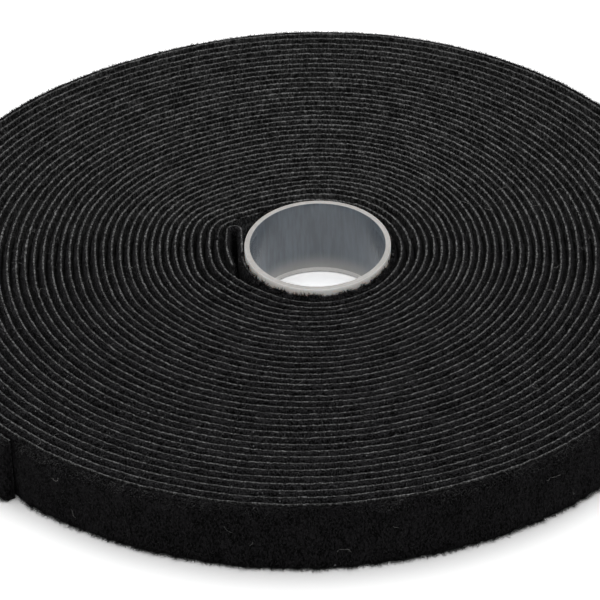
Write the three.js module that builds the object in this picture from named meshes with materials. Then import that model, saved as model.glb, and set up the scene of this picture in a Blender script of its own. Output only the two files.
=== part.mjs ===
// Hook and loop tape roll: a long back-to-back tape wound on a short plastic core.
// Units are millimetres, +Z is up, and the roll lies flat on a table at height 0.
// The tape is one strip, a hook film and a brushed loop fabric bonded for life. Its hooks
// face the core and its pile faces out. It starts with a fold beside the core, pile to
// pile, winds over that fold turn after turn, and ends in a free length on the outside.
import * as THREE from 'three';

// Tape
const TAPE_WIDTH = 20;
const TAPE_THICKNESS = 1.45;
const TURN_GAP = 0.55;
const GAP_GROWTH = 0.019;
const TURNS = 37;
const INNER_TURNS = 18;

// Core
const CORE_OUTER_DIAMETER = 40;
const CORE_WALL = 1.5;
const CORE_PROUD = 2;
const CORE_EDGE_CHAMFER = 0.3;

// Folded start: an inner leg that leaves the core, a bend, and an outer leg that leans back
const FOLD_ANGLE = THREE.MathUtils.degToRad(180);
const FOLD_INNER_LEG = 10;
const FOLD_BEND_RADIUS = 1.7;
const FOLD_OUTER_LEG = 15.5;
const FOLD_LEAN = THREE.MathUtils.degToRad(6);
const FOLD_SLACK = 0.6;

// How the winding settles: its hump over the fold fades, the turns shift to the loose side, and
// they are wound looser as the roll grows, so the gap under each is a little wider than the last.
// The core is proud at both ends, so the turns sag from it until the last ones lie on the table.
const FOLD_FADE_TURNS = 60;
const SIDE_STEP_X = -0.097;
const SIDE_STEP_Y = 0.074;
const LEVEL_TURNS = 2;

// Free end, in short lengths that peel off one after the other
const END_ANGLE = THREE.MathUtils.degToRad(225);
const FREE_SWEEP = THREE.MathUtils.degToRad(15);
const FREE_NAMES = ['free_end_root', 'free_end_middle', 'free_end_tip'];

// Clearance between pieces that touch, and the number of flats in a turn and in the core
const SEAT_GAP = 0.3;
const STEPS_PER_TURN = 24;
const BEND_STEPS = 6;
const CORE_SIDES = 48;

const FULL_TURN = 2 * Math.PI;
const STEP = FULL_TURN / STEPS_PER_TURN;
const PITCH = TAPE_THICKNESS + TURN_GAP;
const CORE_RADIUS = CORE_OUTER_DIAMETER / 2;
const CORE_HEIGHT = TAPE_WIDTH + 2 * CORE_PROUD;

// Radius of the tape's mid-line on the core, whose flats clear the core at their middles
const FIRST_RADIUS = (CORE_RADIUS + SEAT_GAP) / Math.cos(STEP / 2) + TAPE_THICKNESS / 2;

const END_SWEEP = FULL_TURN * TURNS + END_ANGLE;
const FREE_START = END_SWEEP - FREE_SWEEP * FREE_NAMES.length;
const SPLIT_SWEEP = FOLD_ANGLE + FULL_TURN * INNER_TURNS;

const outward = (angle) => new THREE.Vector2(Math.cos(angle), Math.sin(angle));
const forward = (angle) => new THREE.Vector2(-Math.sin(angle), Math.cos(angle));
const along = (start, direction, length) => start.clone().addScaledVector(direction, length);

// The fold's three corners
const foldFoot = outward(FOLD_ANGLE).multiplyScalar(FIRST_RADIUS);
const innerLegTop = along(foldFoot, forward(FOLD_ANGLE), -FOLD_INNER_LEG);
const bendCentre = along(innerLegTop, outward(FOLD_ANGLE), FOLD_BEND_RADIUS);
const outerLegTop = along(bendCentre, outward(FOLD_ANGLE + FOLD_LEAN), FOLD_BEND_RADIUS);
const foldEnd = along(outerLegTop, forward(FOLD_ANGLE + FOLD_LEAN), FOLD_OUTER_LEG);

const SIDE_STEP = new THREE.Vector2(SIDE_STEP_X, SIDE_STEP_Y);

// Discs that the later turns are stretched over: the core, the fold's bend and its cut end
const CORE_DISC = { centre: new THREE.Vector2(), radius: FIRST_RADIUS };
const WRAPPED_DISCS = [
  CORE_DISC,
  { centre: bendCentre, radius: FOLD_BEND_RADIUS + FOLD_SLACK },
  { centre: foldEnd, radius: FOLD_SLACK },
];

// How far the turns have built up outwards, after so many of them
function buildUp(turn) {
  return PITCH * turn + (GAP_GROWTH * turn * turn) / 2;
}

// Height of the tape's lower edge, after so many turns
function liftAt(turn) {
  return CORE_PROUD * THREE.MathUtils.clamp(1 - turn / (TURNS - LEVEL_TURNS), 0, 1);
}

// A station on the tape's mid-line: where it is, which way its pile faces, and its lift.
// A taut band round some discs lies, where it faces a given way, on the disc that reaches
// furthest that way. Each turn lies one pitch further out than the turn under it. The soft
// pile evens out the fold, so its discs draw in to the core's own as the turns go by.
function woundStation(sweep) {
  const pile = outward(sweep);
  const reach = (disc) => disc.centre.dot(pile) + disc.radius;
  const beyondFold = sweep > FOLD_ANGLE + FULL_TURN / 2;
  const discs = beyondFold ? WRAPPED_DISCS : [CORE_DISC];
  const outermost = discs.reduce((best, disc) => (reach(disc) > reach(best) ? disc : best));
  const turn = (sweep - FOLD_ANGLE) / FULL_TURN;
  const fade = Math.exp(-turn / FOLD_FADE_TURNS);
  const centre = outermost.centre.clone().multiplyScalar(fade).addScaledVector(SIDE_STEP, turn);
  const radius = THREE.MathUtils.lerp(CORE_DISC.radius, outermost.radius, fade) + buildUp(turn);
  return { place: along(centre, pile, radius), pile, lift: liftAt(turn) };
}

function foldStations() {
  const lift = liftAt(0);
  const stations = [{ place: foldEnd, pile: outward(FOLD_ANGLE + FOLD_LEAN).negate(), lift }];
  const bendSweep = Math.PI + FOLD_LEAN;
  for (let i = 0; i <= BEND_STEPS; i += 1) {
    const away = outward(FOLD_ANGLE + FOLD_LEAN - (bendSweep * i) / BEND_STEPS);
    stations.push({ place: along(bendCentre, away, FOLD_BEND_RADIUS), pile: away.negate(), lift });
  }
  return stations;
}

// Stations from one sweep angle to another. Those between the ends share their angles
// with every other turn, so that the flats of all turns lie parallel.
function woundStations(from, to) {
  const between = [];
  const first = Math.floor((from - FOLD_ANGLE) / STEP + 1e-6) + 1;
  for (let k = first; FOLD_ANGLE + STEP * k < to - 1e-6; k += 1) {
    between.push(FOLD_ANGLE + STEP * k);
  }
  return [from, ...between, to].map(woundStation);
}

// Moves a length's end station back along the tape, by half of the seat gap
function trimmed(end, neighbour) {
  const back = neighbour.place.clone().sub(end.place).normalize();
  return { ...end, place: along(end.place, back, SEAT_GAP / 2) };
}

function trimStart(stations) {
  return [trimmed(stations[0], stations[1]), ...stations.slice(1)];
}

function trimEnd(stations) {
  return [...stations.slice(0, -1), trimmed(stations.at(-1), stations.at(-2))];
}

// One unbroken strip through the stations: four corners at each, four sides, two ends
function stripGeometry(stations) {
  const half = TAPE_THICKNESS / 2;
  const positions = stations.flatMap(({ place, pile, lift }) => {
    const hookFace = along(place, pile, -half);
    const pileFace = along(place, pile, half);
    const top = lift + TAPE_WIDTH;
    return [
      hookFace.x, hookFace.y, lift,
      pileFace.x, pileFace.y, lift,
      pileFace.x, pileFace.y, top,
      hookFace.x, hookFace.y, top,
    ];
  });
  const triangles = [];
  const quad = (a, b, c, d) => triangles.push(a, b, c, a, c, d);
  const last = 4 * (stations.length - 1);
  for (let s = 0; s < last; s += 4) {
    for (let corner = 0; corner < 4; corner += 1) {
      const next = (corner + 1) % 4;
      quad(s + corner, s + 4 + corner, s + 4 + next, s + next);
    }
  }
  quad(0, 1, 2, 3);
  quad(last + 3, last + 2, last + 1, last);
  const geometry = new THREE.BufferGeometry();
  geometry.setAttribute('position', new THREE.Float32BufferAttribute(positions, 3));
  geometry.setIndex(triangles);
  geometry.computeVertexNormals();
  return geometry;
}

function coreGeometry() {
  const inner = CORE_RADIUS - CORE_WALL;
  const chamfer = CORE_EDGE_CHAMFER;
  const profile = [
    [inner + chamfer, 0],
    [CORE_RADIUS - chamfer, 0],
    [CORE_RADIUS, chamfer],
    [CORE_RADIUS, CORE_HEIGHT - chamfer],
    [CORE_RADIUS - chamfer, CORE_HEIGHT],
    [inner + chamfer, CORE_HEIGHT],
    [inner, CORE_HEIGHT - chamfer],
    [inner, chamfer],
    [inner + chamfer, 0],
  ].map(([radius, height]) => new THREE.Vector2(radius, height));
  return new THREE.LatheGeometry(profile, CORE_SIDES).rotateX(Math.PI / 2);
}

// Least clear distance between any two places of the tape that aren't neighbours along it
function leastGap(stations) {
  const near = 3 * TAPE_THICKNESS;
  const points = stations.flatMap(({ place }, i) => {
    const next = stations[i + 1];
    return next ? [place, place.clone().lerp(next.place, 0.5)] : [place];
  });
  const lengths = [0];
  for (let i = 1; i < points.length; i += 1) {
    lengths.push(lengths[i - 1] + points[i].distanceTo(points[i - 1]));
  }
  let least = Infinity;
  const closest = new THREE.Vector3();
  const flat = points.map((point) => new THREE.Vector3(point.x, point.y, 0));
  for (let j = 1; j < flat.length; j += 1) {
    const piece = new THREE.Line3(flat[j - 1], flat[j]);
    for (let i = 0; i < flat.length; i += 1) {
      if (lengths[i] < lengths[j - 1] - near || lengths[i] > lengths[j] + near) {
        piece.closestPointToPoint(flat[i], true, closest);
        least = Math.min(least, closest.distanceTo(flat[i]) - TAPE_THICKNESS);
      }
    }
  }
  return { least, length: lengths.at(-1) };
}

const tapeMaterial = () => new THREE.MeshStandardMaterial({ color: 0x29292b, roughness: 0.95, metalness: 0 });
const coreMaterial = () => new THREE.MeshStandardMaterial({ color: 0xcdcac4, roughness: 0.4, metalness: 0 });

function named(name, geometry, material) {
  const mesh = new THREE.Mesh(geometry, material);
  mesh.name = name;
  return mesh;
}

const innerStations = [...foldStations(), ...woundStations(FOLD_ANGLE, SPLIT_SWEEP)];
const outerStations = woundStations(SPLIT_SWEEP, FREE_START);
const freeStations = FREE_NAMES.map((name, i) => {
  const from = FREE_START + FREE_SWEEP * i;
  return woundStations(from, from + FREE_SWEEP);
});

const roll = new THREE.Group();
roll.add(named('core', coreGeometry(), coreMaterial()));
roll.add(named('inner_turns', stripGeometry(trimEnd(innerStations)), tapeMaterial()));
roll.add(named('outer_turns', stripGeometry(trimEnd(trimStart(outerStations))), tapeMaterial()));
FREE_NAMES.forEach((name, i) => {
  const isTip = i === FREE_NAMES.length - 1;
  const length = trimStart(freeStations[i]);
  roll.add(named(name, stripGeometry(isTip ? length : trimEnd(length)), tapeMaterial()));
});

// The origin is under the middle of the roll's outline, which the fold makes a little uneven
const middle = new THREE.Box3().setFromObject(roll).getCenter(new THREE.Vector3());
roll.position.set(-middle.x, -middle.y, 0);

const wholeTape = [innerStations, outerStations, ...freeStations].flatMap((stations, i) =>
  i === 0 ? stations : stations.slice(1));
const { least, length } = leastGap(wholeTape);
console.log(`tape ${(length / 1000).toFixed(2)} m long, least gap between turns ${least.toFixed(3)} mm`);
freeStations.forEach(([{ place, pile }], i) => {
  const hinge = along(place, pile, TAPE_THICKNESS / 2).sub(new THREE.Vector2(middle.x, middle.y));
  console.log(`${FREE_NAMES[i]} bends at ${hinge.x.toFixed(3)}, ${hinge.y.toFixed(3)}`);
});
console.log(`core axis at ${(-middle.x).toFixed(3)}, ${(-middle.y).toFixed(3)}`);

export default roll;
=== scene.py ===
# %% [markdown]
# # A roll of hook and loop tape
# The real thing is one long black tape, wound flat on a short plastic tube. Hooks are moulded on
# its inner face and a brushed pile of loops covers its outer face, so each turn grips the next.
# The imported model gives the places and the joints. This script dresses it, piece by piece, and
# every piece is made in code from the same few measurements as the solids.

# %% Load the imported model
import math
import bpy
import numpy as np
from mathutils import Matrix, Vector


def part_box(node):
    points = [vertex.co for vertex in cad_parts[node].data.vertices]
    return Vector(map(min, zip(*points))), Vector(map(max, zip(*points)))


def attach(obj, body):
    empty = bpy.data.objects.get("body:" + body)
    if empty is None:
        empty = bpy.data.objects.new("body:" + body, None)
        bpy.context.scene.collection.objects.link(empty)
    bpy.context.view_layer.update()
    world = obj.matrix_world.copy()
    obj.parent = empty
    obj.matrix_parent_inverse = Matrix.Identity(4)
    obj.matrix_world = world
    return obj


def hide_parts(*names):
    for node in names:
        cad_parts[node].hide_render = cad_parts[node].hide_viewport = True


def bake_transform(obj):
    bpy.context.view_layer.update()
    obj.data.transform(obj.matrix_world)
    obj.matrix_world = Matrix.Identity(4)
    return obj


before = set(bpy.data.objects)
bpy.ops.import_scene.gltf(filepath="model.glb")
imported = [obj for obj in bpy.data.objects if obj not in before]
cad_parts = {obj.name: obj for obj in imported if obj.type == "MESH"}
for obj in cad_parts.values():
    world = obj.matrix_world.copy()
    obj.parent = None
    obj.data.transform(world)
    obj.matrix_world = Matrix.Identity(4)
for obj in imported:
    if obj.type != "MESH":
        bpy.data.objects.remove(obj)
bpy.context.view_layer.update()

print("solids:", sorted(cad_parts))

# %% [markdown]
# ## Camera
# The photograph was taken with a long lens from the front, looking down at about 38 degrees, and
# it crops the roll on both sides. A long lens far away keeps the far turns almost as large as the
# near ones. The camera is a little off level, so it is turned about its own axis as well.

# %% Set the camera
MM = 0.001
core_low, core_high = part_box("core")
AXIS = (core_low + core_high) / 2
VIEW_ELEVATION = math.radians(37.5)
VIEW_DISTANCE = 0.96
LOOK_LEFT = math.radians(0.306)
LOOK_DOWN = math.radians(0.904)
VIEW_ROLL = math.radians(-1.23)

camera_data = bpy.data.cameras.new("camera")
camera_data.sensor_width = 36
camera_data.lens = 211
camera = bpy.data.objects.new("camera", camera_data)
bpy.context.scene.collection.objects.link(camera)
rim_centre = Vector((AXIS.x, AXIS.y, core_high.z))
towards_viewer = Vector((0, -math.cos(VIEW_ELEVATION), math.sin(VIEW_ELEVATION)))
at_rim = Matrix.Rotation(math.pi / 2 - VIEW_ELEVATION, 4, "X")
re_aim = Matrix.Rotation(LOOK_LEFT, 4, "Y") @ Matrix.Rotation(-LOOK_DOWN, 4, "X")
roll = Matrix.Rotation(VIEW_ROLL, 4, "Z")
stand = Matrix.Translation(rim_centre + towards_viewer * VIEW_DISTANCE)
camera.matrix_world = stand @ at_rim @ re_aim @ roll
bpy.context.scene.camera = camera
print("camera at", [round(x, 3) for x in camera.location])

# %% [markdown]
# ## Floor and light
# A product photograph like this is lit by a large soft box overhead, with white card all round.
# The floor is overexposed, so that it is pure white a finger's width from the roll and still
# shows the soft shadow where they meet. Only the floor is lightened, and only for the camera:
# two white layers add up there, and the lamps light the roll at a plain level. Inside the tube the
# second layer is stronger. That is a painted pool of light on the floor there, standing in for
# light that the milky wall passes on.

# %% Helpers for node trees
def put(tree, kind, inputs=None, **settings):
    """Adds a node, sets its properties, and sets or links its named inputs."""
    made = tree.nodes.new(kind)
    for name, value in settings.items():
        setattr(made, name, value)
    for name, value in (inputs or {}).items():
        if isinstance(value, bpy.types.NodeSocket):
            tree.links.new(value, made.inputs[name])
        else:
            made.inputs[name].default_value = value
    return made


def new_material(name):
    material = bpy.data.materials.new(name)
    material.use_nodes = True
    material.node_tree.nodes.clear()
    return material, material.node_tree


def close_material(tree, shader):
    put(tree, "ShaderNodeOutputMaterial", {"Surface": shader})


# %% Floor
FLOOR_HALF = 3.0
FLOOR_EXTRA = 0.45
# Extra lift of the floor inside the tube, seen by the camera: a painted pool of light.
BORE_PAINTED_LIGHT = 0.8
BORE_EDGE = (18.0, 20.0)

floor_mesh = bpy.data.meshes.new("floor")
corners = [(-1, -1), (1, -1), (1, 1), (-1, 1)]
floor_mesh.from_pydata([(FLOOR_HALF * x, FLOOR_HALF * y, 0) for x, y in corners], [], [(0, 1, 2, 3)])
floor = bpy.data.objects.new("floor", floor_mesh)
bpy.context.scene.collection.objects.link(floor)
floor_white, tree = new_material("floor_white")
rays = put(tree, "ShaderNodeLightPath")
seen = put(tree, "ShaderNodeMath", {0: rays.outputs["Is Camera Ray"],
                                    1: rays.outputs["Is Glossy Ray"]}, operation="MAXIMUM")
seen = put(tree, "ShaderNodeMath", {0: seen.outputs[0],
                                    1: rays.outputs["Is Transmission Ray"]}, operation="MAXIMUM")
card = put(tree, "ShaderNodeBsdfDiffuse", {"Color": (0.9, 0.9, 0.9, 1)})
spot = put(tree, "ShaderNodeTexCoord")
off_axis = put(tree, "ShaderNodeVectorMath", {0: spot.outputs["Object"], 1: (AXIS.x, AXIS.y, 0)},
               operation="DISTANCE")
# Inside the tube the floor is painted lighter: a painted pool of light.
bore_painted_light = put(tree, "ShaderNodeMapRange", {"Value": off_axis.outputs["Value"],
                                           "From Min": BORE_EDGE[0] * MM,
                                           "From Max": BORE_EDGE[1] * MM,
                                           "To Min": BORE_PAINTED_LIGHT, "To Max": FLOOR_EXTRA})
extra = put(tree, "ShaderNodeBsdfDiffuse", {"Color": bore_painted_light.outputs[0]})
lighter = put(tree, "ShaderNodeAddShader", {0: card.outputs[0], 1: extra.outputs[0]})
surface = put(tree, "ShaderNodeMixShader", {0: seen.outputs[0], 1: card.outputs[0],
                                            2: lighter.outputs[0]})
close_material(tree, surface.outputs[0])
floor_mesh.materials.append(floor_white)
print("floor is", 2 * FLOOR_HALF, "m wide")

# %% Soft box and white surroundings
def soft_box(name, place, size, power):
    lamp = bpy.data.lights.new(name, "AREA")
    lamp.shape = "SQUARE"
    lamp.size = size
    lamp.energy = power
    box = bpy.data.objects.new(name, lamp)
    bpy.context.scene.collection.objects.link(box)
    box.location = place
    box.rotation_euler = (-Vector(place)).to_track_quat("-Z", "Y").to_euler()
    return box


BOX_PLACE = (0.0, 0.1, 1.25)
BOX_SIZE = 1.3
BOX_POWER = 12.0
ROOM_LIGHT = 0.42

soft_box("overhead_box", BOX_PLACE, BOX_SIZE, BOX_POWER)
world = bpy.data.worlds.new("white_room")
world.use_nodes = True
tree = world.node_tree
tree.nodes.clear()
rays = put(tree, "ShaderNodeLightPath")
room = put(tree, "ShaderNodeBackground", {"Color": (1, 1, 1, 1), "Strength": ROOM_LIGHT})
white = put(tree, "ShaderNodeBackground", {"Color": (1, 1, 1, 1), "Strength": 1.0})
seen = put(tree, "ShaderNodeMixShader", {0: rays.outputs["Is Camera Ray"], 1: room.outputs[0],
                                         2: white.outputs[0]})
put(tree, "ShaderNodeOutputWorld", {"Surface": seen.outputs[0]})
bpy.context.scene.world = world
bpy.context.scene.view_settings.view_transform = "Standard"
print("one soft box and a white room")

# %% [markdown]
# ## The tape's route
# The start of the tape is folded back on itself beside the core, and every turn after it is
# stretched over that fold. A taut band round some discs lies, where it faces a given way, on the
# disc that reaches furthest that way, and each turn lies one pitch further out. The roll is wound
# looser as it grows, so the pitch grows too. The soft pile evens out the hump over the fold, and
# the turns settle to the loose side. So one formula gives the whole route, and no turn is drawn
# by hand. Tape is too stiff for a sharp corner, so the discs pass over into each other softly. The
# first turns lie flat on the core and climb only where they cross the fold. The core is proud at
# both ends, so the turns sag a little from it until the last ones lie on the table. Lengths here are
# millimetres from the core's axis.

# %% Measurements, as in the solids
TAPE_WIDTH = 20.0
PITCH = 2.0
GAP_GROWTH = 0.019
HALF_THICKNESS = 0.725
TURNS = 37
INNER_TURNS = 18
CORE_RADIUS = 20.0
CORE_WALL = 1.5
CORE_PROUD = 2.0
CORE_HEIGHT = TAPE_WIDTH + 2 * CORE_PROUD
FULL_TURN = 2 * math.pi
FOLD_ANGLE = math.radians(180)
FOLD_INNER_LEG = 10.0
FOLD_BEND_RADIUS = 1.7
FOLD_OUTER_LEG = 15.5
FOLD_LEAN = math.radians(6)
FOLD_SLACK = 0.6
LEG_BOW = 0.8
FOLD_FADE_TURNS = 60
SIDE_STEP = np.array([-0.097, 0.074])
LEVEL_TURNS = 2
END_SWEEP = FULL_TURN * TURNS + math.radians(225)
HINGE_BEARINGS = np.radians([175.9, 193.0, 206.0])
CUT_BEARING = math.radians(223)
SPLIT_SWEEP = FOLD_ANGLE + FULL_TURN * INNER_TURNS
FIRST_RADIUS = (CORE_RADIUS + 0.3) / math.cos(math.radians(7.5)) + HALF_THICKNESS
SNUG = 0.3
LATE_CLIMB_TURNS = 3.0


def outward(angle):
    return np.stack([np.cos(angle), np.sin(angle)], axis=-1)


def forward(angle):
    return np.stack([-np.sin(angle), np.cos(angle)], axis=-1)


fold_foot = FIRST_RADIUS * outward(FOLD_ANGLE)
inner_leg_top = fold_foot - FOLD_INNER_LEG * forward(FOLD_ANGLE)
bend_centre = inner_leg_top + FOLD_BEND_RADIUS * outward(FOLD_ANGLE)
outer_leg_top = bend_centre + FOLD_BEND_RADIUS * outward(FOLD_ANGLE + FOLD_LEAN)
fold_end = outer_leg_top + FOLD_OUTER_LEG * forward(FOLD_ANGLE + FOLD_LEAN)
DISC_CENTRES = np.array([[0.0, 0.0], bend_centre, fold_end])
DISC_RADII = np.array([FIRST_RADIUS, FOLD_BEND_RADIUS + FOLD_SLACK, FOLD_SLACK])
print("first turn at radius", round(FIRST_RADIUS, 2), "mm")

# %% [markdown]
# A machine winds the tape, but the pile gives, so no turn is a perfect circle. The roll is a little
# oval, with three soft lobes that grow outwards, and it lies in a little on the side of the free end.
# Smooth noise on a lattice moves each turn a few tenths of a millimetre more. The lattice runs round
# the turn and from turn to turn, so that neighbours wander together and never cross.

# %% Smooth noise
def lattice_noise(x, y, seed, columns, rows=97):
    """Smooth noise from -1 to 1 over x and y. It repeats after the given columns and rows."""
    table = np.random.default_rng(seed).uniform(-1, 1, (columns, rows))
    column = np.floor(x).astype(int)
    row = np.floor(y).astype(int)
    right = x - column
    up = y - row
    right = right * right * (3 - 2 * right)
    up = up * up * (3 - 2 * up)
    here = column % columns
    beside = (column + 1) % columns
    below = row % rows
    above = (row + 1) % rows
    low = table[here, below] * (1 - right) + table[beside, below] * right
    high = table[here, above] * (1 - right) + table[beside, above] * right
    return low * (1 - up) + high * up


def smooth_step(x):
    x = np.clip(x, 0, 1)
    return x * x * (3 - 2 * x)


# %% Wind the tape
DRIFT = 0.18
RISE = 0.15
SLACK = 0.34
SETTLING = 0.61
SIDEWAYS = 0.25
OVAL = 0.6
OVAL_ANGLE = math.radians(44)
LOBES = 0.63
LOBE_ANGLE = math.radians(60)
LATE_SHIFT = 0.85
LATE_SIDE = math.radians(-69)
LATE_OVAL = 1.06
LATE_ANGLE = math.radians(11)
FREE_SIDE_EASE = 2.0
GIVE = 1.6


def wound_route(sweep):
    """Places on the tape's mid-line, and the way its pile faces, for each sweep angle."""
    pile = outward(sweep)
    turn = (sweep - FOLD_ANGLE) / FULL_TURN
    late = np.exp(-np.floor(turn) / LATE_CLIMB_TURNS)
    held_back = late * (PITCH * (turn % 1.0) + SNUG)
    reach = pile @ DISC_CENTRES.T + DISC_RADII
    reach[:, 0] -= held_back
    on_core_only = sweep <= FOLD_ANGLE + math.pi
    reach[on_core_only, 1:] = -np.inf
    furthest = reach.max(axis=1)
    share = np.exp((reach - furthest[:, None]) / GIVE)
    support = furthest + GIVE * np.log(share.sum(axis=1))
    middle = share @ DISC_CENTRES / share.sum(axis=1, keepdims=True)
    bend = support - np.sum(middle * pile, axis=1)
    round_turn = (sweep % FULL_TURN) / FULL_TURN
    loose = smooth_step((turn - 1.2) / 3)
    drift = DRIFT * loose * lattice_noise(round_turn * 19, turn / 3.5, 11, 19)
    drift += 0.4 * DRIFT * loose * lattice_noise(round_turn * 53, turn / 2.0, 12, 53)
    grown = turn / TURNS
    drift += loose * (SLACK - SETTLING * grown - SIDEWAYS * np.cos(sweep))
    drift += loose * OVAL * np.cos(2 * sweep - OVAL_ANGLE)
    drift -= loose * LOBES * grown * np.cos(3 * sweep - LOBE_ANGLE)
    drift += grown ** 2 * LATE_SHIFT * np.cos(sweep - LATE_SIDE)
    drift += grown ** 2 * LATE_OVAL * np.cos(2 * sweep - LATE_ANGLE)
    drift -= grown ** 2 * FREE_SIDE_EASE * (0.5 - 0.5 * np.cos(sweep)) ** 6
    fade = np.exp(-turn / FOLD_FADE_TURNS)
    centre = middle * fade[:, None] + SIDE_STEP * turn[:, None]
    build_up = PITCH * turn + GAP_GROWTH * turn ** 2 / 2
    radius = FIRST_RADIUS + (bend - FIRST_RADIUS) * fade + build_up + drift
    return centre + pile * radius[:, None], pile


sweeps = np.linspace(FOLD_ANGLE, END_SWEEP + math.radians(6), 1440 * TURNS)
wound_place, wound_pile = wound_route(sweeps)
bend_angles = np.linspace(FOLD_ANGLE + FOLD_LEAN, FOLD_ANGLE - math.pi, 60)
bend_place = bend_centre + FOLD_BEND_RADIUS * outward(bend_angles)
leg_share = np.linspace(0, 1, 24, endpoint=False)[:, None]
leg_place = fold_end + (bend_place[0] - fold_end) * leg_share
leg_place += LEG_BOW * np.sin(math.pi * leg_share) * outward(FOLD_ANGLE)
leg_pile = np.repeat(-outward(bend_angles[:1]), len(leg_place), axis=0)
route_place = np.concatenate([leg_place, bend_place, wound_place])
route_pile = np.concatenate([leg_pile, -outward(bend_angles), wound_pile])
folded = len(leg_place) + len(bend_place)
steps = np.linalg.norm(np.diff(route_place, axis=0), axis=1)
route_run = np.concatenate([[0.0], np.cumsum(steps)])
fold_run = route_run[folded]
turn = (sweeps - FOLD_ANGLE) / FULL_TURN
rise = RISE * lattice_noise(turn * 7, turn / 0.8, 13, 331)
route_rise = np.concatenate([np.zeros(folded), rise * smooth_step(turn * 4)])
lift = CORE_PROUD * np.clip(1 - turn / (TURNS - LEVEL_TURNS), 0, 1)
route_lift = np.concatenate([np.full(folded, CORE_PROUD), lift])
route_pitch = np.concatenate([np.full(folded, PITCH), PITCH + GAP_GROWTH * turn])
LENGTH = route_run[-1]
print("tape is", round(LENGTH / 1000, 2), "m long")

# %% Places along the tape
def run_at(sweep):
    """Millimetres along the tape at a sweep angle."""
    return float(np.interp(sweep, sweeps, route_run[folded:]))


bearings = np.unwrap(np.arctan2(wound_place[:, 1], wound_place[:, 0]))
bearings += FULL_TURN * np.round((FOLD_ANGLE - bearings[0]) / FULL_TURN)


def run_seen_at(turns, bearing):
    """Millimetres along the tape where a turn is passed at a bearing from the core."""
    return float(np.interp(FULL_TURN * turns + bearing, bearings, route_run[folded:]))


def tape_frame(run):
    """Mid-line place, pile direction and forward direction at each run along the tape."""
    place = np.stack([np.interp(run, route_run, route_place[:, i]) for i in (0, 1)], axis=-1)
    pile = np.stack([np.interp(run, route_run, route_pile[:, i]) for i in (0, 1)], axis=-1)
    pile /= np.linalg.norm(pile, axis=-1, keepdims=True)
    ahead = np.stack([-pile[..., 1], pile[..., 0]], axis=-1)
    return place, pile, ahead


def foot_at(run):
    """Height of the tape's lower edge."""
    return np.interp(run, route_run, route_lift)


def edge_at(run):
    """Height of the tape's upper edge, which is a little uneven."""
    return foot_at(run) + TAPE_WIDTH + np.interp(run, route_run, route_rise)


def to_frame(places):
    """From millimetres about the core's axis to metres in the shared frame."""
    return places * MM + np.array([AXIS.x, AXIS.y, 0.0])


def tape_points(run, across, height):
    """Points at rows of runs: across is towards the pile, height is up from the floor."""
    place, pile, _ = tape_frame(run)
    flat = place[:, None, :] + pile[:, None, :] * across[..., None]
    return to_frame(np.concatenate([flat, height[..., None]], axis=-1))


TAPE_END = run_seen_at(TURNS, CUT_BEARING)
SPLIT_RUN = run_at(SPLIT_SWEEP)
HINGE_RUNS = [run_seen_at(TURNS, bearing) for bearing in HINGE_BEARINGS]
BEND_REACH = 11.0
ROLL_END = HINGE_RUNS[0] - BEND_REACH - 1.0
COVERED_FROM = run_seen_at(TURNS - 1, HINGE_BEARINGS[0]) - 3.0
COVERED_TO = run_seen_at(TURNS - 1, CUT_BEARING)
print("free end is", round(TAPE_END - HINGE_RUNS[0], 1), "mm long")

# %% [markdown]
# ## Meshes from arrays
# The tape has tens of thousands of small faces, which are quick to make when whole arrays are
# handed to the mesh at once. A strip is a ring of points repeated along the tape, closed at both
# ends, so that each piece is a solid with no open edge.

# %% Mesh helpers
def new_piece(name, points, face_sets, material, smooth=True):
    """A mesh object from an array of points and arrays of faces with 3, 4 or more corners."""
    mesh = bpy.data.meshes.new(name)
    mesh.vertices.add(len(points))
    mesh.vertices.foreach_set("co", np.asarray(points, np.float32).ravel())
    corners = np.concatenate([np.asarray(faces, np.int32).ravel() for faces in face_sets])
    counts = np.concatenate([np.full(len(faces), len(faces[0])) for faces in face_sets])
    mesh.loops.add(len(corners))
    mesh.loops.foreach_set("vertex_index", corners)
    mesh.polygons.add(len(counts))
    starts = np.concatenate([[0], np.cumsum(counts)[:-1]]).astype(np.int32)
    mesh.polygons.foreach_set("loop_start", starts)
    mesh.polygons.foreach_set("use_smooth", np.full(len(counts), smooth))
    mesh.update(calc_edges=True)
    mesh.validate()
    mesh.materials.append(material)
    piece = bpy.data.objects.new(name, mesh)
    bpy.context.scene.collection.objects.link(piece)
    print(name, len(mesh.polygons), "faces")
    return piece


def strip_faces(stations, ring):
    """Faces of a tube of rings, with a cap on each end."""
    first = np.arange(stations - 1)[:, None] * ring
    here = np.arange(ring)[None, :]
    beside = (here + 1) % ring
    after = first + ring
    sides = np.stack([first + here, after + here, after + beside, first + beside], axis=-1)
    start_cap = np.arange(ring)[None, :]
    end_cap = (stations - 1) * ring + np.arange(ring)[::-1][None, :]
    return [sides.reshape(-1, 4), start_cap, end_cap]


def stations_between(start, end, spacing):
    return np.linspace(start, end, max(2, int(round((end - start) / spacing)) + 1))


def rough(run, spacing, seed):
    """Uneven values from -1 to 1 along the tape, with a new one about every spacing."""
    count = int(LENGTH / spacing) + 3
    values = np.random.default_rng(seed).uniform(-1, 1, count)
    return np.interp(run / spacing, np.arange(count), values)


tape_pieces = []

# %% [markdown]
# ## Grain that several finishes share
# Pile, film and core all have an uneven surface, fine and broad at once, and on the pile and the
# core it is drawn out along one direction. One node group makes that grain from noise, and each
# finish uses it at its own scale. A second group scatters pale specks of dust.

# %% Node groups
def new_group(name, inputs, outputs):
    group = bpy.data.node_groups.new(name, "ShaderNodeTree")
    for label, value in inputs:
        socket = group.interface.new_socket(label, in_out="INPUT", socket_type="NodeSocketFloat")
        socket.default_value = value
    for label in outputs:
        group.interface.new_socket(label, in_out="OUTPUT", socket_type="NodeSocketFloat")
    return group, group.nodes.new("NodeGroupInput"), group.nodes.new("NodeGroupOutput")


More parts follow.
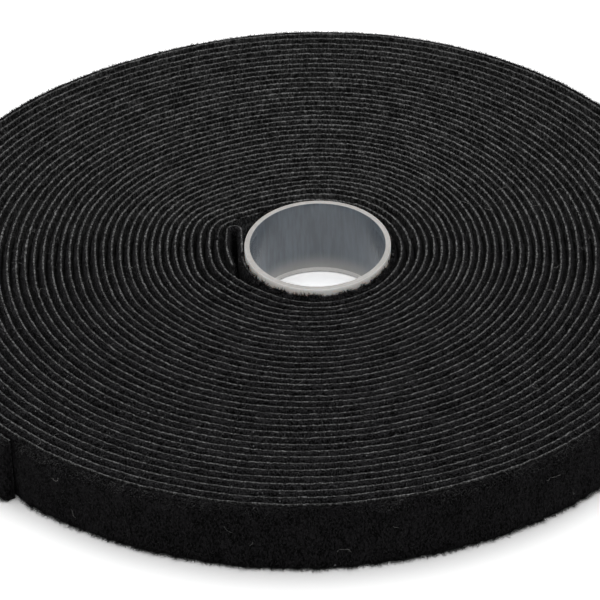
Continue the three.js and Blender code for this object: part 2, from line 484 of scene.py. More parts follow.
grain_group, start, end = new_group("drawn_grain", [("Scale", 1000.0), ("Drawn Out", 1.0)],
                                    ["Fine", "Broad"])
place = put(grain_group, "ShaderNodeTexCoord")
stretch = put(grain_group, "ShaderNodeCombineXYZ", {"X": 1.0, "Y": 1.0, "Z": start.outputs["Drawn Out"]})
drawn = put(grain_group, "ShaderNodeVectorMath", {0: place.outputs["Object"], 1: stretch.outputs[0]},
            operation="MULTIPLY")
fine = put(grain_group, "ShaderNodeTexNoise", {"Vector": drawn.outputs[0],
                                               "Scale": start.outputs["Scale"],
                                               "Detail": 3.0, "Roughness": 0.6})
wide = put(grain_group, "ShaderNodeMath", {0: start.outputs["Scale"], 1: 0.11}, operation="MULTIPLY")
broad = put(grain_group, "ShaderNodeTexNoise", {"Vector": drawn.outputs[0], "Scale": wide.outputs[0],
                                                "Detail": 2.0, "Roughness": 0.5})
grain_group.links.new(fine.outputs[0], end.inputs["Fine"])
grain_group.links.new(broad.outputs[0], end.inputs["Broad"])

dust_group, start, end = new_group("dust_specks", [("Scale", 400.0), ("Share", 0.1)], ["Mask"])
place = put(dust_group, "ShaderNodeTexCoord")
cells = put(dust_group, "ShaderNodeTexVoronoi", {"Vector": place.outputs["Object"],
                                                 "Scale": start.outputs["Scale"]})
near = put(dust_group, "ShaderNodeMath", {0: cells.outputs["Distance"], 1: 0.16}, operation="LESS_THAN")
split = put(dust_group, "ShaderNodeSeparateColor", {"Color": cells.outputs["Color"]})
rare = put(dust_group, "ShaderNodeMath", {0: split.outputs[0], 1: start.outputs["Share"]},
           operation="LESS_THAN")
both = put(dust_group, "ShaderNodeMath", {0: near.outputs[0], 1: rare.outputs[0]}, operation="MULTIPLY")
dust_group.links.new(both.outputs[0], end.inputs["Mask"])
print("groups:", grain_group.name, dust_group.name)

# %% A finish made of two tones, grain and specks
def place_group(tree, group, **values):
    made = tree.nodes.new("ShaderNodeGroup")
    made.node_tree = group
    for name, value in values.items():
        made.inputs[name.replace("_", " ")].default_value = value
    return made


DUST_TONE = (0.16, 0.16, 0.165, 1.0)


def tone(value, tint=(1.0, 1.0, 1.0)):
    return tuple(value * part for part in tint) + (1.0,)


def grained_finish(name, dark, pale, scale, drawn_out=1.0, clouds=1.0, spread=(0.86, 1.16),
                   roughness=(0.7, 0.9), bump=(0.5, 0.2), dust=(500.0, 0.02), painted_floor_light=None, **constants):
    """A finish whose tone follows the grain from dark to pale, with specks of dust on it. A painted
    floor light is painted light from the floor: a pale tone that takes over towards the floor, and
    the height in millimetres where it starts."""
    material, tree = new_material(name)
    grain = place_group(tree, grain_group, Scale=scale, Drawn_Out=drawn_out)
    specks = place_group(tree, dust_group, Scale=dust[0], Share=dust[1])
    cloudy = put(tree, "ShaderNodeMapRange", {"Value": grain.outputs["Broad"],
                                              "To Min": 0.5 - 0.5 * clouds,
                                              "To Max": 0.5 + 0.5 * clouds})
    both = put(tree, "ShaderNodeMath", {0: grain.outputs["Fine"], 1: cloudy.outputs[0]},
               operation="ADD")
    share = put(tree, "ShaderNodeMapRange", {"Value": both.outputs[0], "From Min": spread[0],
                                             "From Max": spread[1]})
    body = put(tree, "ShaderNodeMix", {0: share.outputs[0], 6: dark, 7: pale}, data_type="RGBA")
    # Painted light from the floor: below the given height the tone blends into the pale one.
    if painted_floor_light:
        spot = put(tree, "ShaderNodeTexCoord")
        parts = put(tree, "ShaderNodeSeparateXYZ", {0: spot.outputs["Object"]})
        low = put(tree, "ShaderNodeMapRange", {"Value": parts.outputs["Z"], "From Min": 0.0,
                                               "From Max": painted_floor_light[1] * MM, "To Min": 1.0, "To Max": 0.0},
                  interpolation_type="SMOOTHSTEP")
        body = put(tree, "ShaderNodeMix", {0: low.outputs[0], 6: body.outputs[2], 7: painted_floor_light[0]},
                   data_type="RGBA")
    colour = put(tree, "ShaderNodeMix", {0: specks.outputs["Mask"], 6: body.outputs[2], 7: DUST_TONE},
                 data_type="RGBA")
    uneven = put(tree, "ShaderNodeMapRange", {"Value": grain.outputs["Fine"], "From Min": 0.3,
                                              "From Max": 0.7, "To Min": roughness[0],
                                              "To Max": roughness[1]})
    relief = put(tree, "ShaderNodeBump", {"Height": both.outputs[0], "Strength": bump[0],
                                          "Distance": bump[1] * MM})
    plain = {socket.replace("_", " "): value for socket, value in constants.items()}
    surface = put(tree, "ShaderNodeBsdfPrincipled", {"Base Color": colour.outputs[2],
                                                     "Roughness": uneven.outputs[0],
                                                     "Normal": relief.outputs[0], **plain})
    close_material(tree, surface.outputs[0])
    return material


# %% [markdown]
# ## Film
# The tape's backing is a thin plastic film, which the hooks are moulded on. From above, its slit
# edge is the pale line that shows where each turn lies. The slitting knife leaves the edge lumpy,
# and loose fibres cross it, so the line looks dotted. It is a thin strip, a little proud of the
# pile on one side and the hooks on the other, with an uneven top edge that slants to the hooks.

# %% Film of the wound turns
FILM_HOOK_SIDE = -0.48
FILM_PILE_SIDE = -0.04
FILM_SLANT = 0.06
FILM_WAVER = 0.13
FILM_LUMPS = 0.1

film_edge = grained_finish("film_edge", tone(0.012), tone(0.2), scale=2000.0, drawn_out=0.4, clouds=0.2,
                           spread=(0.95, 1.2), roughness=(0.45, 0.65), bump=(0.5, 0.1),
                           dust=(900.0, 0.05), Specular_IOR_Level=0.25)


def film_strip(name, start, end, spacing, seed):
    run = stations_between(start, end, spacing)
    lump = rough(run, 0.9, seed) + 0.8 * rough(run, 0.5, seed + 1)
    hook_side = FILM_HOOK_SIDE + FILM_WAVER * rough(run, 0.55, seed + 2)
    pile_side = FILM_PILE_SIDE + FILM_WAVER * rough(run, 0.6, seed + 3)
    foot = foot_at(run)
    top = edge_at(run) + FILM_LUMPS * (lump + rough(run, 6.0, seed + 4))
    across = np.stack([hook_side, pile_side, pile_side, hook_side], axis=-1)
    height = np.stack([foot, foot, top, top - FILM_SLANT], axis=-1)
    points = tape_points(run, across, height).reshape(-1, 3)
    return new_piece(name, points, strip_faces(len(run), 4), film_edge, smooth=False)


inner_film = film_strip("inner_turns_film", 0.0, SPLIT_RUN, 0.35, 21)
outer_film = film_strip("outer_turns_film", SPLIT_RUN, ROLL_END, 0.44, 31)
tape_pieces += [inner_film, outer_film]

# %% [markdown]
# ## Pile of the wound turns
# Loops of fine black yarn are knitted into the other side of the film and then brushed. Between
# turns the pile is pressed flat, and from above only its ragged upper edge shows, which falls away
# from the film into a dark gap. A lumpy strip carries the mass of it, and loose fibres follow.

# %% Pile bed
HOOK_SPACE = 1.0


def pressed_face(run):
    """How far the pressed pile reaches from the mid-line: to the hooks of the next turn."""
    return np.interp(run, route_run, route_pitch) - HOOK_SPACE


loop_pile = grained_finish("loop_pile", tone(0.0006), tone(0.036, (1.0, 0.98, 1.04)), scale=2600.0,
                           drawn_out=0.6, clouds=0.2, spread=(0.92, 1.16), roughness=(0.75, 0.95),
                           bump=(0.8, 0.35), dust=(900.0, 0.05), Specular_IOR_Level=0.03,
                           Sheen_Weight=0.01, Sheen_Roughness=0.4)


def pile_strip(name, start, end, spacing, seed):
    run = stations_between(start, end, spacing)
    foot = foot_at(run)
    top = edge_at(run) - 0.3
    face = pressed_face(run) - 0.05 + 0.07 * rough(run, 0.8, seed)
    inside = np.full(len(run), FILM_PILE_SIDE)
    across = np.stack([inside, face - 0.15, face, face, 0.65 * face + 0.1 * rough(run, 0.7, seed + 1),
                       0.35 * face, inside], axis=-1)
    height = np.stack([foot + 0.3, foot + 0.3, foot + 0.9, top - 3.0,
                       top - 1.0 + 0.35 * rough(run, 0.7, seed + 2),
                       top - 0.1 + 0.25 * rough(run, 0.8, seed + 3),
                       top + 0.2 + 0.15 * rough(run, 1.1, seed + 4)], axis=-1)
    points = tape_points(run, across, height).reshape(-1, 3)
    return new_piece(name, points, strip_faces(len(run), 7), loop_pile)


inner_pile = pile_strip("inner_turns_pile", 0.0, SPLIT_RUN, 0.7, 41)
outer_pile = pile_strip("outer_turns_pile", SPLIT_RUN, COVERED_FROM, 0.72, 51)
tape_pieces += [inner_pile, outer_pile]

# %% [markdown]
# ## Pile on the outside
# Nothing presses on the last turn, so its pile springs up to about twice the depth, and it rounds
# over towards both edges and the cut, where no neighbour props it up. Brushing leaves fine upright
# streaks and soft tufts. A grid of rows is raised by noise that is drawn out upwards, because a bump
# in the finish alone would leave the edge of the roll too straight. Where the free end lies on it,
# the pile stays pressed down.

# %% Outer face
FLUFF = 0.75
OUTER_ROWS = 40
SHOULDER = 3.0
FOOT = 1.2
CUT_TAPER = 1.5


def rounded(distance, reach):
    """From 0 at an edge to 1 at the given reach from it, along a quarter of an ellipse."""
    return np.sqrt(1 - (1 - np.clip(distance / reach, 0, 1)) ** 2)


def outer_face(run, height):
    """How far the open pile stands out from the mid-line, at each run and height."""
    open_pile = smooth_step((run - COVERED_TO) / 4.0)
    edges = rounded(TAPE_WIDTH - height, SHOULDER) * rounded(height + 0.3, FOOT)
    edges = 0.1 + 0.9 * edges * rounded(TAPE_END - run, CUT_TAPER)
    streak = lattice_noise(run / 0.55, height / 4.5, 61, 2003)
    tuft = lattice_noise(run / 1.7, height / 2.4, 62, 701)
    wave = lattice_noise(run / 9.0, height / 8.0, 63, 211)
    relief = 0.14 * streak + 0.16 * tuft + 0.06 * wave
    relief += 0.5 * np.exp(-height / 1.2) * lattice_noise(run / 1.3, height / 2.0, 64, 907)
    depth = pressed_face(run) - FILM_PILE_SIDE
    depth = depth + open_pile * (FLUFF + relief) + (1 - open_pile) * 0.3 * relief
    return FILM_PILE_SIDE + depth * edges


def open_pile_strip(name, start, end, spacing, rows, seed):
    run = stations_between(start, end, spacing)
    low = 0.15 + 0.1 * rough(run, 1.0, seed)
    top = edge_at(run) - 0.5 + 0.15 * rough(run, 0.7, seed + 1)
    share = 0.5 - 0.5 * np.cos(np.linspace(0, math.pi, rows))[None, :]
    height = low[:, None] + (top - low)[:, None] * share
    across = outer_face(run[:, None] + 0 * height, height)
    inside = np.full((len(run), 1), FILM_PILE_SIDE)
    ridge = np.linspace(0.75, 0.25, 3)[None, :] * across[:, -1:]
    uneven = np.stack([rough(run, 0.8, seed + 2 + i) for i in range(3)], axis=-1)
    ridge_height = top[:, None] + 0.15 * uneven
    across = np.concatenate([inside, across, ridge, inside], axis=1)
    height = np.concatenate([low[:, None], height, ridge_height, top[:, None]], axis=1)
    points = tape_points(run, across, height).reshape(-1, 3)
    return new_piece(name, points, strip_faces(len(run), across.shape[1]), open_pile)


open_pile = grained_finish("open_pile", tone(0.0004), tone(0.016, (1.02, 0.97, 1.05)), scale=2200.0,
                           drawn_out=0.45, clouds=0.2, spread=(0.9, 1.16), roughness=(0.8, 0.95),
                           bump=(0.9, 0.4), dust=(500.0, 0.004), Specular_IOR_Level=0.03,
                           Sheen_Weight=0.01, Sheen_Roughness=0.35)
last_pile = open_pile_strip("last_turn_pile", COVERED_FROM, ROLL_END, 0.5, OUTER_ROWS, 71)
tape_pieces.append(last_pile)

# %% [markdown]
# ## Hooks
# Each hook is a short moulded stem with a head curled over along the tape, about a millimetre
# from the next. In the roll only the row at the upper edge shows, as black dots beside the pale
# line, so the wound turns get that row alone. The free end can be peeled open, so it gets them all,
# and the face that they stand on gets a dark finish of its own.

# %% Hook rows
hook_plastic = grained_finish("hook_plastic", tone(0.002), tone(0.01), scale=3000.0,
                              roughness=(0.35, 0.55), bump=(0.2, 0.05), dust=(900.0, 0.01),
                              Specular_IOR_Level=0.3)
hook_face = grained_finish("hook_face", tone(0.004), tone(0.02), scale=1800.0, drawn_out=0.4,
                           roughness=(0.4, 0.6), bump=(0.4, 0.1), dust=(700.0, 0.03),
                           Specular_IOR_Level=0.3)
HOOK_REACH = np.array([0.0, 0.36, 0.57, 0.46])
HOOK_CURL = np.array([0.0, 0.02, 0.16, 0.36])
HOOK_WIDTH = np.array([0.15, 0.10, 0.09, 0.0])


def tubes(lines, widths, refs):
    """Three-sided tubes along lines of points, pointed at the far end. Returns points and faces."""
    count, knots, _ = lines.shape
    tangent = np.gradient(lines, axis=1)
    tangent /= np.linalg.norm(tangent, axis=-1, keepdims=True) + 1e-12
    side = np.cross(tangent, refs[:, None, :])
    side /= np.linalg.norm(side, axis=-1, keepdims=True) + 1e-12
    other = np.cross(tangent, side)
    angles = FULL_TURN * np.arange(3) / 3
    rings = []
    for angle in angles:
        way = side[:, :-1] * math.cos(angle) + other[:, :-1] * math.sin(angle)
        rings.append(lines[:, :-1] + widths[:, :-1, None] * way)
    body = np.stack(rings, axis=2).reshape(count, -1, 3)
    points = np.concatenate([body, lines[:, -1:]], axis=1).reshape(-1, 3)
    each = 3 * (knots - 1) + 1
    base = (np.arange(count) * each)[:, None]
    quads = []
    for k in range(knots - 2):
        for i in range(3):
            j = (i + 1) % 3
            quads.append(base + np.array([[3 * k + i, 3 * k + j, 3 * k + 3 + j, 3 * k + 3 + i]]))
    tip = 3 * (knots - 2)
    ends = [base + np.array([[tip + i, tip + (i + 1) % 3, each - 1]]) for i in range(3)]
    roots = [base + np.array([[2, 1, 0]])]
    return points, [np.concatenate(quads), np.concatenate(ends + roots)]


def hook_rows(name, start, end, spacing, heights, seed):
    rng = np.random.default_rng(seed)
    run = np.repeat(stations_between(start, end, spacing), len(heights))
    high = np.tile(heights, len(run) // len(heights)) + rng.uniform(-0.12, 0.12, len(run))
    run = run + rng.uniform(-0.2, 0.2, len(run))
    place, pile, ahead = tape_frame(run)
    curl = rng.choice([-1.0, 1.0], len(run))[:, None] * HOOK_CURL
    curl = curl * rng.uniform(0.8, 1.1, (len(run), 1))
    reach = FILM_HOOK_SIDE - HOOK_REACH * rng.uniform(0.85, 1.05, (len(run), 1))
    flat = place[:, None] + pile[:, None] * reach[..., None] + ahead[:, None] * curl[..., None]
    high = high + edge_at(run) - TAPE_WIDTH
    droop = high[:, None] + rng.uniform(-0.1, 0.1, (len(run), 1)) * HOOK_CURL
    lines = to_frame(np.concatenate([flat, droop[..., None]], axis=-1))
    widths = np.broadcast_to(HOOK_WIDTH * MM, lines.shape[:2])
    upward = np.broadcast_to([0.0, 0.0, 1.0], (len(run), 3))
    points, faces = tubes(lines, widths, upward)
    return new_piece(name, points, faces, hook_plastic)


UPPER_ROW = [TAPE_WIDTH - 0.6]
inner_hooks = hook_rows("inner_turns_hooks", 1.0, SPLIT_RUN, 1.0, UPPER_ROW, 81)
outer_hooks = hook_rows("outer_turns_hooks", SPLIT_RUN, ROLL_END, 1.05, UPPER_ROW, 82)
tape_pieces += [inner_hooks, outer_hooks]

# %% [markdown]
# ## Loose fibres
# Brushing pulls thousands of fibres out of the pile. They make the edge of every turn furry, cross
# the pale lines, and blur the outline of the roll. Hair particles would not become solid pieces,
# so each fibre is a thin bent tube of its own, with three sides and a point.

# %% Fibres along the upper edge
FIBRE_WIDTH = 0.045
STOUT_WIDTH = 0.05
TUFT_WIDTH = 0.1
ROOT_DEPTH = 0.12

loose_fibre = grained_finish("loose_fibre", tone(0.002), tone(0.09), scale=900.0,
                             spread=(0.9, 1.2), roughness=(0.4, 0.6), bump=(0.0, 0.05),
                             dust=(300.0, 0.02), Specular_IOR_Level=0.25)


def fibres(name, run, across, height, lean, length, rng, width=FIBRE_WIDTH, material=None):
    """Bent fibres rooted in the tape. Lean gives their way: to the pile, ahead, and up."""
    place, pile, ahead = tape_frame(run)
    flat = place + pile * across[:, None]
    root = np.concatenate([flat, height[:, None]], axis=-1)
    still = np.zeros((len(run), 1))
    out = np.concatenate([pile, still], axis=-1)
    on = np.concatenate([ahead, still], axis=-1)
    up = np.array([[0.0, 0.0, 1.0]])
    way = out * lean[:, :1] + on * lean[:, 1:2] + up * lean[:, 2:3]
    way /= np.linalg.norm(way, axis=-1, keepdims=True)
    bend = rng.normal(0, 0.35, (len(run), 3)) * length[:, None]
    middle = root + 0.5 * way * length[:, None] - 0.25 * bend
    tip = root + way * length[:, None] + 0.6 * bend
    lines = np.stack([root, middle, tip], axis=1)
    lines[..., 2] = np.maximum(lines[..., 2], 0.06)
    taper = np.array([1.0, 0.8, 0.0]) * width * MM
    widths = taper * rng.uniform(0.7, 1.25, (len(run), 1))
    points, faces = tubes(to_frame(lines), widths, rng.normal(0, 1, (len(run), 3)))
    return new_piece(name, points, faces, material or loose_fibre)


def upper_fibres(name, start, end, count, seed):
    rng = np.random.default_rng(seed)
    run = rng.uniform(start, end, count)
    across = rng.triangular(-0.2, 0.0, 1.2, count)
    height = edge_at(run) - 0.7 - 0.5 * np.maximum(across, 0.0) + rng.uniform(-0.1, 0.25, count)
    lean = np.stack([rng.normal(-0.1, 0.55, count), rng.normal(0, 0.6, count),
                     rng.uniform(0.35, 1.0, count)], axis=-1)
    length = rng.uniform(0.45, 1.1, count)
    return fibres(name, run, across, height, lean, length, rng)


tape_pieces.append(upper_fibres("inner_turns_fibres", 0.0, SPLIT_RUN, 18000, 91))
HALF_WAY = (SPLIT_RUN + ROLL_END) / 2
tape_pieces.append(upper_fibres("outer_turns_fibres_a", SPLIT_RUN, HALF_WAY, 19000, 92))
tape_pieces.append(upper_fibres("outer_turns_fibres_b", HALF_WAY, ROLL_END, 19000, 93))

# %% Pale fibres that cross the turns
pale_fibre = grained_finish("pale_fibre", tone(0.03), tone(0.13), scale=700.0, roughness=(0.5, 0.7),
                            bump=(0.0, 0.05), dust=(300.0, 0.0), Specular_IOR_Level=0.3)


def crossing_fibres(name, start, end, count, seed):
    rng = np.random.default_rng(seed)
    run = np.sqrt(rng.uniform(start ** 2, end ** 2, count))
    across = rng.uniform(-0.4, 1.0, count)
    height = edge_at(run) - 0.15 + rng.uniform(-0.1, 0.15, count)
    lean = np.stack([rng.normal(0, 0.9, count), rng.normal(0, 0.45, count),
                     rng.uniform(-0.05, 0.3, count)], axis=-1)
    length = rng.uniform(0.5, 2.2, count)
    return fibres(name, run, across, height, lean, length, rng, material=pale_fibre)


tape_pieces.append(crossing_fibres("crossing_fibres", 0.02 * LENGTH, ROLL_END, 5000, 99))

# %% Fibres on the outside
brushed_fibre = grained_finish("brushed_fibre", tone(0.001), tone(0.052), scale=1300.0, clouds=0.15,
                               spread=(0.9, 1.2), roughness=(0.5, 0.7), bump=(0.0, 0.05),
                               dust=(300.0, 0.0), Specular_IOR_Level=0.15)


def side_fibres(name, start, end, count, seed):
    rng = np.random.default_rng(seed)
    run = rng.uniform(start, end, count)
    height = rng.uniform(0.2, TAPE_WIDTH - 0.2, count)
    across = outer_face(run, height) - ROOT_DEPTH
    edge = np.abs(2 * height / TAPE_WIDTH - 1) ** 6 * np.sign(height - TAPE_WIDTH / 2)
    lean = np.stack([rng.uniform(0.15, 0.6, count), rng.normal(0, 0.3, count),
                     rng.normal(0, 0.75, count) + 0.6 * edge], axis=-1)
    length = rng.uniform(0.5, 1.3, count)
    return fibres(name, run, across, height, lean, length, rng, STOUT_WIDTH, brushed_fibre)


OPEN_MIDDLE = (COVERED_TO + ROLL_END) / 2
tape_pieces.append(side_fibres("last_turn_fibres_a", COVERED_TO + 1, OPEN_MIDDLE, 14000, 94))
tape_pieces.append(side_fibres("last_turn_fibres_b", OPEN_MIDDLE, ROLL_END, 14000, 95))

# %% Fur along the rim and the foot of the roll
# Fibres along the rim take the paler loose_fibre finish, where the fibres on the side take brushed_fibre.
# This is painted light on the shoulder of the roll, which the overhead box lights more.
def rim_fibres(name, start, end, count, seed):
    rng = np.random.default_rng(seed)
    run = rng.uniform(start, end, count)
    down = rng.triangular(0.15, 0.3, 2.5, count)
    height = edge_at(run) - down
    across = outer_face(run, height) - ROOT_DEPTH
    lean = np.stack([rng.uniform(0.1, 0.8, count), rng.normal(0, 0.5, count),
                     rng.uniform(-0.2, 0.6, count) * (1 - down / SHOULDER)], axis=-1)
    length = rng.uniform(0.4, 1.0, count)
    return fibres(name, run, across, height, lean, length, rng, STOUT_WIDTH)


def foot_fibres(name, start, end, count, seed):
    rng = np.random.default_rng(seed)
    run = rng.uniform(start, end, count)
    height = rng.uniform(0.1, 1.2, count)
    across = outer_face(run, height) - ROOT_DEPTH
    lean = np.stack([rng.uniform(0.3, 1.0, count), rng.normal(0, 0.6, count),
                     rng.uniform(-0.8, 0.3, count)], axis=-1)
    length = rng.uniform(0.8, 2.2, count)
    return fibres(name, run, across, height, lean, length, rng, material=brushed_fibre)


tape_pieces.append(rim_fibres("last_turn_rim_fibres", COVERED_TO + 1, ROLL_END, 9000, 96))
tape_pieces.append(foot_fibres("last_turn_foot_fibres", COVERED_TO + 1, ROLL_END, 7000, 90))

# %% [markdown]
# ## Free end
# The last stretch can be peeled off the roll. It bends at three places in the solids, so it is cut
# into three lengths here, each of which spans one bend. The cut itself is dark, because frayed
# yarn covers the end of the film.

# %% Three lengths of the free end
BETWEEN_BENDS = [(HINGE_RUNS[i] + HINGE_RUNS[i + 1]) / 2 for i in range(2)]
CUTS = [ROLL_END, *BETWEEN_BENDS, TAPE_END]
BODIES = ["roll", "free_end_root", "free_end_middle", "free_end_tip"]
ALL_ROWS = list(np.arange(0.6, TAPE_WIDTH, 0.985))
PER_LENGTH = 110

for i in range(3):
    name = BODIES[i + 1]
    start = CUTS[i]
    end = CUTS[i + 1]
    count = int((end - start) * PER_LENGTH)
    film = film_strip(name + "_film", start, end, 0.5, 101 + 10 * i)
    pile = open_pile_strip(name + "_pile", start, end, 0.5, 30, 201 + 10 * i)
    hooks = hook_rows(name + "_hooks", start + 0.5, end - 0.5, 1.0, ALL_ROWS, 301 + i)
    fur = side_fibres(name + "_fibres", start, end, count // 2, 401 + i)
    rim = rim_fibres(name + "_rim_fibres", start, end, count // 8, 501 + i)
    foot = foot_fibres(name + "_foot_fibres", start, end, count // 8, 551 + i)
    top = upper_fibres(name + "_edge_fibres", start, end, count // 8, 601 + i)
    place, pile_way, ahead = tape_frame(np.array([HINGE_RUNS[i]]))
    for piece in (film, pile, hooks, fur, rim, foot, top):
        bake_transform(piece)
    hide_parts(name)
    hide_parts(name)
    film.data.materials.append(hook_face)
    on_hook_side = np.arange(len(film.data.polygons) - 2) % 4 == 3
    slots = np.append(on_hook_side, [False, False]).astype(np.int32)
    film.data.polygons.foreach_set("material_index", slots)
film.data.materials.append(loop_pile)
film.data.polygons[-1].material_index = 2
print("free end in", len(BODIES) - 1, "lengths")

# %% [markdown]
# ## Core
# The core is a length of natural plastic tube. Its wall lets some light through, so it looks grey
# where black tape lies behind it. Above the tape its outer band is painted near white. That is
# partly the tube's milky colour and partly a painted glow of light coming through the wall. Its
# sawn rim is paler, because one looks along the wall there and not through it. Its foot, below the
# tape, is painted near white too, and the wall is painted paler towards the floor. That is partly
# the milky colour and partly painted light from the white floor. Fine scratches run up and down
# the wall, from drawing the tube. A profile with rounded edges is turned round the axis.

# %% Core tube
CORE_EDGE = 0.3
CORE_SEGMENTS = 192
EDGE_STEPS = 5
FOOT_BAND = 1.7
# Height up the core wall that the painted light from the floor reaches.
PAINTED_LIGHT_HEIGHT = 7.5

COOL = (0.87, 1.0, 1.15)
WARM = (1.0, 0.97, 0.935)
core_wall = grained_finish("core_wall", tone(0.3, COOL), tone(0.46, COOL), scale=1100.0, drawn_out=0.12,
                           spread=(0.83, 1.25), roughness=(0.18, 0.26), bump=(0.0, 0.1), dust=(350.0, 0.0),
                           painted_floor_light=(tone(1.0, WARM), PAINTED_LIGHT_HEIGHT), Transmission_Weight=0.55, IOR=1.5,
                           Specular_IOR_Level=0.5)
# The foot band is near white: the tube's milky colour with painted light from the white floor.
core_foot_painted_light = grained_finish("core_foot_painted_light", tone(0.9, WARM), tone(1.0, WARM), scale=900.0,
                           roughness=(0.4, 0.55), bump=(0.1, 0.1), dust=(350.0, 0.0))
core_rim = grained_finish("core_rim", tone(0.46, WARM), tone(0.53, WARM), scale=900.0,
                          roughness=(0.4, 0.55), bump=(0.12, 0.1), dust=(350.0, 0.0),
                          Subsurface_Weight=1.0, Subsurface_Radius=(1.2, 1.0, 0.9),
                          Subsurface_Scale=0.6 * MM)
# The band above the tape is near white: the milky colour with a painted glow of light through the wall.
core_band_painted_glow = grained_finish("core_band_painted_glow", tone(0.88, WARM), tone(0.96, WARM), scale=500.0,
                           roughness=(0.35, 0.5), bump=(0.06, 0.1), dust=(350.0, 0.0),
                           Subsurface_Weight=1.0, Subsurface_Radius=(1.2, 1.0, 0.9),
                           Subsurface_Scale=3.0 * MM)


def corner_arc(radius, height, start):
    turns = np.radians(start + np.linspace(0, 90, EDGE_STEPS))
    return np.stack([radius + CORE_EDGE * np.cos(turns), height + CORE_EDGE * np.sin(turns)], axis=-1)


core_inside = CORE_RADIUS - CORE_WALL
levels = np.linspace(3.2, CORE_HEIGHT - 3.2, 10)
levels = np.concatenate([[1.0, FOOT_BAND], levels, [CORE_HEIGHT - 1.2]])
profile = np.concatenate([
    corner_arc(core_inside + CORE_EDGE, CORE_EDGE, 180),
    corner_arc(CORE_RADIUS - CORE_EDGE, CORE_EDGE, 270),
    np.stack([np.full(len(levels), CORE_RADIUS), levels], axis=-1),
    corner_arc(CORE_RADIUS - CORE_EDGE, CORE_HEIGHT - CORE_EDGE, 0),
    corner_arc(core_inside + CORE_EDGE, CORE_HEIGHT - CORE_EDGE, 90),
    np.stack([np.full(len(levels), core_inside), levels[::-1]], axis=-1),
])
around = FULL_TURN * np.arange(CORE_SEGMENTS) / CORE_SEGMENTS
radii = profile[:, 0][None, :, None]
flat = outward(around)[:, None, :] * radii
tall = np.broadcast_to(profile[:, 1][None, :, None], flat.shape[:2] + (1,))
ring = len(profile)
first = (np.arange(CORE_SEGMENTS) * ring)[:, None]
after = ((np.arange(CORE_SEGMENTS) + 1) % CORE_SEGMENTS * ring)[:, None]
here = np.arange(ring)[None, :]
beside = (here + 1) % ring
wall_faces = np.stack([first + here, after + here, after + beside, first + beside], axis=-1)
core_points = to_frame(np.concatenate([flat, tall], axis=-1)).reshape(-1, 3)
core_tube = new_piece("core_tube", core_points, [wall_faces.reshape(-1, 4)], core_wall)
for finish in (core_rim, core_band_painted_glow, core_foot_painted_light):
    core_tube.data.materials.append(finish)
rim_start = 2 * EDGE_STEPS + len(levels) + 2
# Slots: 1 is the rim, 2 the band with its painted glow, 3 the foot with its painted light.
on_rim = (here >= rim_start) & (here < rim_start + 2 * EDGE_STEPS - 5)
on_painted_band = (here >= rim_start - 4) & (here < rim_start)
on_painted_foot = here >= ring - 2
slots = np.broadcast_to(on_rim + 2 * on_painted_band + 3 * on_painted_foot, (CORE_SEGMENTS, ring))
slots = slots.astype(np.int32).ravel()
core_tube.data.polygons.foreach_set("material_index", slots)
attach(core_tube, "core")
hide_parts("core")
print("core has", int((slots > 0).sum()), "milky faces")

# %% [markdown]
# ## Tufts at the core and stray lint
# Where the first turn meets the core, loops stand up against the tube, and they break the line
# between black and pale. A few pale lint threads have caught on the pile, as they do on any such
# tape that has been handled.

# %% Tufts at the core
def core_tufts(name, count, seed):
    rng = np.random.default_rng(seed)
    run = rng.uniform(fold_run, run_at(FOLD_ANGLE + FULL_TURN), count)
    across = rng.uniform(-0.6, 0.3, count)
    clump = smooth_step(0.5 + 0.8 * lattice_noise(run / 1.2, 0 * run, 65, 173))
    height = edge_at(run) + rng.uniform(-0.8, -0.2, count) + 0.3 * clump
    lean = np.stack([rng.uniform(-0.25, 0.1, count), rng.normal(0, 0.5, count),
                     rng.uniform(0.5, 1.0, count)], axis=-1)
    length = rng.uniform(0.4, 1.0, count) * (0.6 + 1.0 * clump)
    return fibres(name, run, across, height, lean, length, rng, TUFT_WIDTH, loop_pile)


tape_pieces.append(core_tufts("core_tufts", 2600, 97))

# %% Lint
lint_thread = grained_finish("lint_thread", tone(0.2), tone(0.4, (1.0, 0.97, 0.93)), scale=900.0,
                             bump=(0.0, 0.05), dust=(300.0, 0.0))
LINT_KNOTS = 8
LINT_WIDTH = 0.028


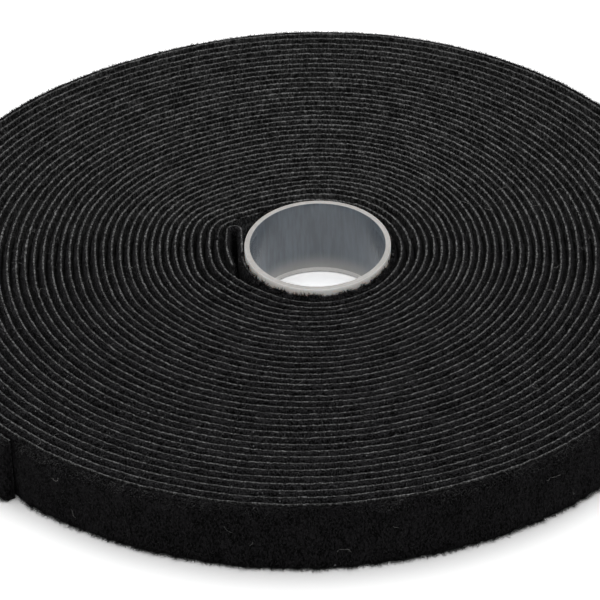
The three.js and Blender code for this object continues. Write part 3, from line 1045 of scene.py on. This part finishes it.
def lint_walks(count, rng):
    """Wandering paths in a plane, in millimetres from where each thread is caught."""
    start = rng.uniform(0, FULL_TURN, count)[:, None]
    turnings = start + np.cumsum(rng.normal(0, 0.5, (count, LINT_KNOTS)), axis=1)
    walk = np.cumsum(np.stack([np.cos(turnings), np.sin(turnings)], axis=-1), axis=1)
    return walk * rng.uniform(0.2, 0.6, count)[:, None, None]


def lint_threads(name, lines):
    count = len(lines)
    widths = np.full((count, LINT_KNOTS), LINT_WIDTH * MM)
    points, faces = tubes(to_frame(lines), widths, np.broadcast_to([0.3, 0.2, 1.0], (count, 3)))
    return new_piece(name, points, faces, lint_thread)


def lint_on_top(count, seed):
    rng = np.random.default_rng(seed)
    run = rng.uniform(0.15 * LENGTH, ROLL_END, count)
    place, _, _ = tape_frame(run)
    walk = lint_walks(count, rng)
    high = edge_at(run)[:, None] + 0.25 + 0.15 * rng.uniform(0, 1, (count, LINT_KNOTS))
    lines = np.concatenate([place[:, None] + walk, high[..., None]], axis=-1)
    return lint_threads("lint_on_top", lines)


def lint_on_side(count, seed):
    rng = np.random.default_rng(seed)
    run = rng.uniform(COVERED_TO + 5, ROLL_END - 5, count)
    place, pile, ahead = tape_frame(run)
    walk = lint_walks(count, rng)
    high = np.clip(rng.uniform(4, TAPE_WIDTH - 3, count)[:, None] + walk[..., 1], 1, TAPE_WIDTH - 1)
    across = outer_face(run[:, None] + walk[..., 0], high) + 0.5
    flat = place[:, None] + pile[:, None] * across[..., None] + ahead[:, None] * walk[..., :1]
    return lint_threads("lint_on_side", np.concatenate([flat, high[..., None]], axis=-1))


tape_pieces.append(lint_on_top(40, 98))
tape_pieces.append(lint_on_side(36, 89))

# %% [markdown]
# ## Put the pieces on their bodies
# Everything wound rides on the roll, and stands for the two wound solids. The core was placed
# above.

# %% Ride on the roll
for piece in tape_pieces:
    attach(piece, "roll")
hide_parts("inner_turns")
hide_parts("inner_turns")
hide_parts("outer_turns")
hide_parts("outer_turns")
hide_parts("outer_turns")
